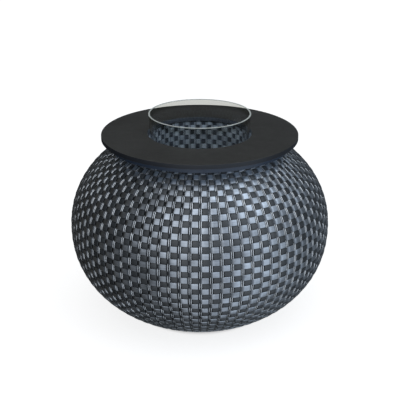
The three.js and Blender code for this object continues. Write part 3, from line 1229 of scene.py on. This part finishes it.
@dataclass
class WovenSleeve:
    """The woven sleeve that takes the bucket. The shares of its edge and first row are of the row pitch."""

    columns: int = 56
    rows: int = 13
    edge_share: float = 0.32
    first_row_share: float = 0.404
    start_turn: float = math.radians(1.32)
    wall: float = 0.004
    hem_share: float = 0.95
    hem_steps: int = 3

    def build(self) -> None:
        """Weaves the sleeve and dresses it."""
        low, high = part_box("woven_well")
        ground = SleeveGround(radius=high.x - self.wall, top=high.z, bottom=low.z)
        pitch = ground.reach / (self.rows - self.edge_share)
        weave = Weave(
            ground=ground, full_radius=ground.radius, columns=self.columns, rows=self.rows, row_pitch=pitch,
            first_row=pitch * self.first_row_share, start_turn=self.start_turn, depth=self.wall / 2, phase=0,
            weft_wave=0.0010, warp_wave=0.0007, cord_wave=0.0007, thickness=0.0009, crown=0.00015,
            cord_radius=0.0008, seed=11,
        )
        bar = self.wall / 2
        size, segments = bar * self.hem_share, self.columns * self.hem_steps
        for piece, finish in (
            # Painted light on the well's wefts and cords, painted shade on its warps
            (weave.wefts("well_wefts", range(self.rows)), LIT_WELL_FINISH),
            (weave.warps("well_warps", Warp.BROAD), SHADED_FINISH),
            (weave.warps("well_cords_left", Warp.LEFT_CORD), LIT_WELL_FINISH),
            (weave.warps("well_cords_right", Warp.RIGHT_CORD), LIT_WELL_FINISH),
            (hoop("well_hem_top", ground.radius + bar, ground.top - bar, size, segments), FRAME_FINISH),
            (hoop("well_hem_bottom", ground.radius + bar, ground.bottom + bar, size, segments), FRAME_FINISH),
        ):
            settle(piece, finish, Body.TABLE, "woven_well")


@dataclass
class Top:
    """The ring top and the collar under it."""

    hole_radius: float = 0.118
    collar_bore: float = 0.126
    arris: float = 0.0009
    segments: int = 256

    def build(self) -> None:
        """Builds both rings and dresses them."""
        for name, node, bore, finish in (
            ("top_board", "tabletop", self.hole_radius, BOARD_FINISH),
            ("top_collar", "collar", self.collar_bore, COLLAR_FINISH),
        ):
            settle(flat_ring(name, node, bore, self.arris, self.segments), finish, Body.TABLE, node)


@dataclass
class GlassBucket:
    """The clear glass bucket with its fire polished rim, painted pale as a highlight, which lifts out of the
    table.
    """

    wall: float = 0.0035
    rim_height: float = 0.0009
    rim_rounding: float = 0.8
    rim_seam: float = 0.00003
    floor: float = 0.009
    heel: float = 0.014
    heel_steps: int = 10
    base_radius: float = 0.103
    segments: int = 192
    crease: float = 60.0

    def build(self) -> None:
        """Builds the bucket and dresses it."""
        low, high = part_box("ice_bucket")
        for name, profile, finish in (
            ("glass_bucket", self.profile(low.z, high.z, high.x), GLASS_FINISH),
            # The rim's pale colour is a painted highlight
            ("glass_rim", self.rim_profile(high.z, high.x), RIM_HIGHLIGHT_FINISH),
        ):
            piece = revolve(name, profile, self.segments, self.crease)
            settle(piece, finish, Body.BUCKET, "ice_bucket")

    def profile(self, bottom: float, top: float, rim_radius: float) -> list[ProfilePoint]:
        """The section of the bucket below its rim, from the middle of its underside to that of its floor.

        Args:
            bottom: The height of its underside.
            top: The height of its rim.
            rim_radius: Its outer radius at the rim.

        Returns:
            The section's points.
        """
        lean = (rim_radius - self.base_radius) / (top - bottom)
        heel_radius = self.base_radius + lean * self.heel - self.heel
        inner_heel = self.heel - self.wall
        seam = top - self.rim_height - self.rim_seam
        return [
            (0.0, bottom),
            *arc(heel_radius, bottom + self.heel, self.heel, -90, 0, self.heel_steps),
            (rim_radius, seam),
            (rim_radius - self.wall, seam),
            *arc(heel_radius, bottom + self.floor + inner_heel, inner_heel, 0, -90, self.heel_steps),
            (0.0, bottom + self.floor),
        ]

    def rim_profile(self, top: float, rim_radius: float) -> list[ProfilePoint]:
        """The section of the rim.

        Args:
            top: The height of its crest.
            rim_radius: Its outer radius.

        Returns:
            The section's points.
        """
        low = top - self.rim_height
        inner = rim_radius - self.wall
        rounding = self.rim_height * self.rim_rounding
        return [
            (inner, low), (rim_radius, low),
            *rounded((rim_radius, top), (rim_radius, low), (inner, top), rounding),
            *rounded((inner, top), (rim_radius, top), (inner, low), rounding),
        ]


@dataclass
class BarFrame:
    """The painted frame inside the globe and round the sleeve."""

    hoops: tuple[str, ...] = ("foot_hoop", "belly_hoop", "shoulder_hoop", "well_hoop_top", "well_hoop_bottom")
    plates: tuple[tuple[str, float], ...] = (("neck_ring", 0.024), ("foot_ring", 0.028))
    straight: tuple[str, ...] = ("rib_", "well_rod", "well_strut", "well_floor")
    segments: int = 160
    plate_arris: float = 0.0006
    plate_steps: int = 2

    def build(self) -> None:
        """Builds the round parts smooth and dresses the straight ones."""
        for node in self.hoops:
            low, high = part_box(node)
            bar = (high.z - low.z) / 2
            piece = hoop(f"bar_{node}", high.x - bar, (low.z + high.z) / 2, bar, self.segments)
            settle(piece, FRAME_FINISH, Body.TABLE, node)
        for node, width in self.plates:
            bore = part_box(node)[1].x - width
            piece = flat_ring(f"plate_{node}", node, bore, self.plate_arris, self.segments, self.plate_steps)
            settle(piece, FRAME_FINISH, Body.TABLE, node)
        dress(FRAME_FINISH, self.straight)


@dataclass
class Feet:
    """Glides, nuts, screws and the pads under the bucket."""

    rubber: tuple[str, ...] = ("glide_1", "glide_2", "glide_3", "glide_4", "bucket_pad")
    steel: tuple[str, ...] = ("glide_nut", "top_screw")

    def build(self) -> None:
        """Dresses the small parts."""
        dress(RUBBER_FINISH, self.rubber)
        dress(STEEL_FINISH, self.steel)


# Studio


@dataclass(frozen=True)
class Window:
    """A soft patch of the surround, bright or dim, laid over the patches before it.

    Its turns are in degrees. Low and high bound the upward part of the direction, which runs from -1 to 1.
    """

    turn: float
    half_turn: float
    soft_turn: float
    colour: Colour
    low: float = -1.2
    high: float = 1.5
    soft_height: float = 0.06

    def mask(self, graph: Graph, heading: Socket, upward: Socket) -> Socket:
        """Adds the patch's mask to the world's graph.

        Args:
            graph: The world's graph.
            heading: The level direction, of length one.
            upward: The upward part of the direction.

        Returns:
            One inside the patch and zero outside it.
        """
        centre = math.radians(self.turn)
        middle = (math.sin(centre), -math.cos(centre), 0.0)
        facing = graph.vectors("DOT_PRODUCT", heading, middle, output="Value")
        outer = math.cos(math.radians(self.half_turn + self.soft_turn))
        inner = math.cos(math.radians(self.half_turn - self.soft_turn))
        soft = self.soft_height
        above = graph.remap(upward, self.low - soft, self.low + soft)
        below = graph.remap(upward, self.high - soft, self.high + soft, 1.0, 0.0)
        across = graph.remap(facing, outer, inner)
        return graph.maths("MULTIPLY", across, graph.maths("MULTIPLY", above, below))


@dataclass
class Studio:
    """The pale floor, the soft lights and the camera."""

    distance: float = 2.2
    tilt: float = math.radians(21.81)
    target_height: float = 0.26691
    lens: float = 85.05
    sensor: float = 36.0
    shift: float = 0.00075
    floor_radius: float = 40.0
    floor_steps: int = 96
    floor_tone: float = 0.36
    floor_roughness: float = 0.55
    floor_glow: float = 0.83
    shade_radii: tuple[float, float] = (0.13, 0.16)
    windows: tuple[Window, ...] = (
        Window(0.0, 64.0, 8.0, (0.16, 0.165, 0.175)),
        Window(0.0, 33.5, 28.5, (0.62, 0.66, 0.71)),
        Window(0.0, 43.5, 13.5, (1.06, 1.12, 1.2), low=0.15, soft_height=0.35),
        Window(50.0, 21.0, 6.0, (0.78, 0.87, 0.98)),
        Window(58.0, 34.0, 12.0, (1.3, 1.45, 1.62), low=0.6, soft_height=0.2),
        Window(19.0, 14.0, 4.0, (0.42, 0.46, 0.52), high=0.93),
        Window(-57.0, 21.0, 16.0, (0.12, 0.125, 0.13), high=-0.02, soft_height=0.12),
        Window(60.0, 16.0, 10.0, (0.58, 0.65, 0.73), high=-0.02, soft_height=0.12),
    )
    left_wall: Colour = (0.04, 0.038, 0.033)
    right_wall: Colour = (0.12, 0.135, 0.15)
    wall_range: tuple[float, float] = (-0.6, 1.0)
    backdrop: Colour = (1.0, 1.0, 1.0)
    wash_power: float = 0.9
    wash_angle: float = math.radians(80)

    def build(self) -> None:
        """Sets the stage."""
        scene = bpy.context.scene
        scene.view_settings.view_transform = "Standard"
        self.build_world(scene)
        self.build_floor()
        self.build_lights()
        self.build_camera(scene)

    def build_world(self, scene: bpy.types.Scene) -> None:
        """A dim surround with soft windows in it for the reflections, and a pale backdrop behind the table.

        Args:
            scene: The scene that it lights.
        """
        world = bpy.data.worlds.new("Surround")
        world.use_nodes = True
        graph = Graph(world.node_tree)
        place = graph.take("Generated", "ShaderNodeTexCoord")
        parts = graph.add("ShaderNodeSeparateXYZ", {"Vector": place})
        heading = graph.vectors("NORMALIZE", graph.level(place))
        lit = graph.blend(graph.remap(parts.outputs["X"], *self.wall_range), self.left_wall, self.right_wall)
        for window in self.windows:
            lit = graph.blend(window.mask(graph, heading, parts.outputs["Z"]), lit, window.colour)
        path = graph.add("ShaderNodeLightPath").outputs
        straight = graph.maths("MAXIMUM", path["Is Camera Ray"], path["Is Transmission Ray"])
        bounces = graph.maths("ADD", path["Glossy Depth"], path["Diffuse Depth"])
        seen = graph.maths("MULTIPLY", straight, graph.maths("LESS_THAN", bounces, 0.5))
        lit = graph.blend(seen, lit, self.backdrop)
        graph.feed(world.node_tree.nodes["Background"], {"Color": lit, "Strength": 1.0})
        scene.world = world

    def build_floor(self) -> None:
        """A wide pale floor with a glow of its own, which keeps the shade on it faint."""
        rim = spin(self.floor_radius, even_turns(self.floor_steps), 0.0)
        floor = new_piece("floor", rim, [list(range(self.floor_steps))])
        floor.data.materials.append(self.floor_material())
        floor.visible_glossy = False
        floor.visible_diffuse = False
        floor.visible_shadow = False

    def floor_material(self) -> bpy.types.Material:
        """The floor's material, whose glow fades out in the shade under the foot of the table.

        Returns:
            The material.
        """
        material = bpy.data.materials.new("Pale floor")
        material.use_nodes = True
        graph = Graph(material.node_tree)
        position = graph.take("Position", "ShaderNodeNewGeometry")
        lit = graph.remap(graph.vectors("LENGTH", position, output="Value"), *self.shade_radii)
        graph.feed(material.node_tree.nodes["Principled BSDF"], {
            "Base Color": (self.floor_tone, self.floor_tone, self.floor_tone, 1.0),
            "Roughness": self.floor_roughness,
            "Emission Strength": self.floor_glow,
            "Emission Color": graph.blend(lit, (0.0, 0.0, 0.0), (1.0, 1.0, 1.0)),
        })
        return material

    def build_lights(self) -> None:
        """A broad soft wash from above, for the floor and the shade under the table."""
        wash = bpy.data.lights.new("wash", "SUN")
        wash.energy = self.wash_power
        wash.angle = self.wash_angle
        overhead = bpy.data.objects.new("wash", wash)
        overhead.visible_glossy = False
        bpy.context.scene.collection.objects.link(overhead)

    def build_camera(self, scene: bpy.types.Scene) -> None:
        """A camera at the photograph's viewing angle.

        Args:
            scene: The scene that it is the camera of.
        """
        data = bpy.data.cameras.new("camera")
        data.lens = self.lens
        data.sensor_width = self.sensor
        data.shift_x = self.shift
        camera = bpy.data.objects.new("camera", data)
        target = Vector((0.0, 0.0, self.target_height))
        away = Vector((0.0, -math.cos(self.tilt), math.sin(self.tilt)))
        camera.location = target + self.distance * away
        camera.rotation_euler = (-away).to_track_quat("-Z", "Y").to_euler()
        scene.collection.objects.link(camera)
        scene.camera = camera


def main() -> None:
    """Builds the table and its studio."""
    logging.basicConfig(level=logging.INFO, format="%(name)s: %(message)s")
    for assembly in (WovenGlobe(), WovenSleeve(), Top(), GlassBucket(), BarFrame(), Feet(), Studio()):
        assembly.build()
        LOG.info("%s built", type(assembly).__name__)


if __name__ == "__main__":
    main()
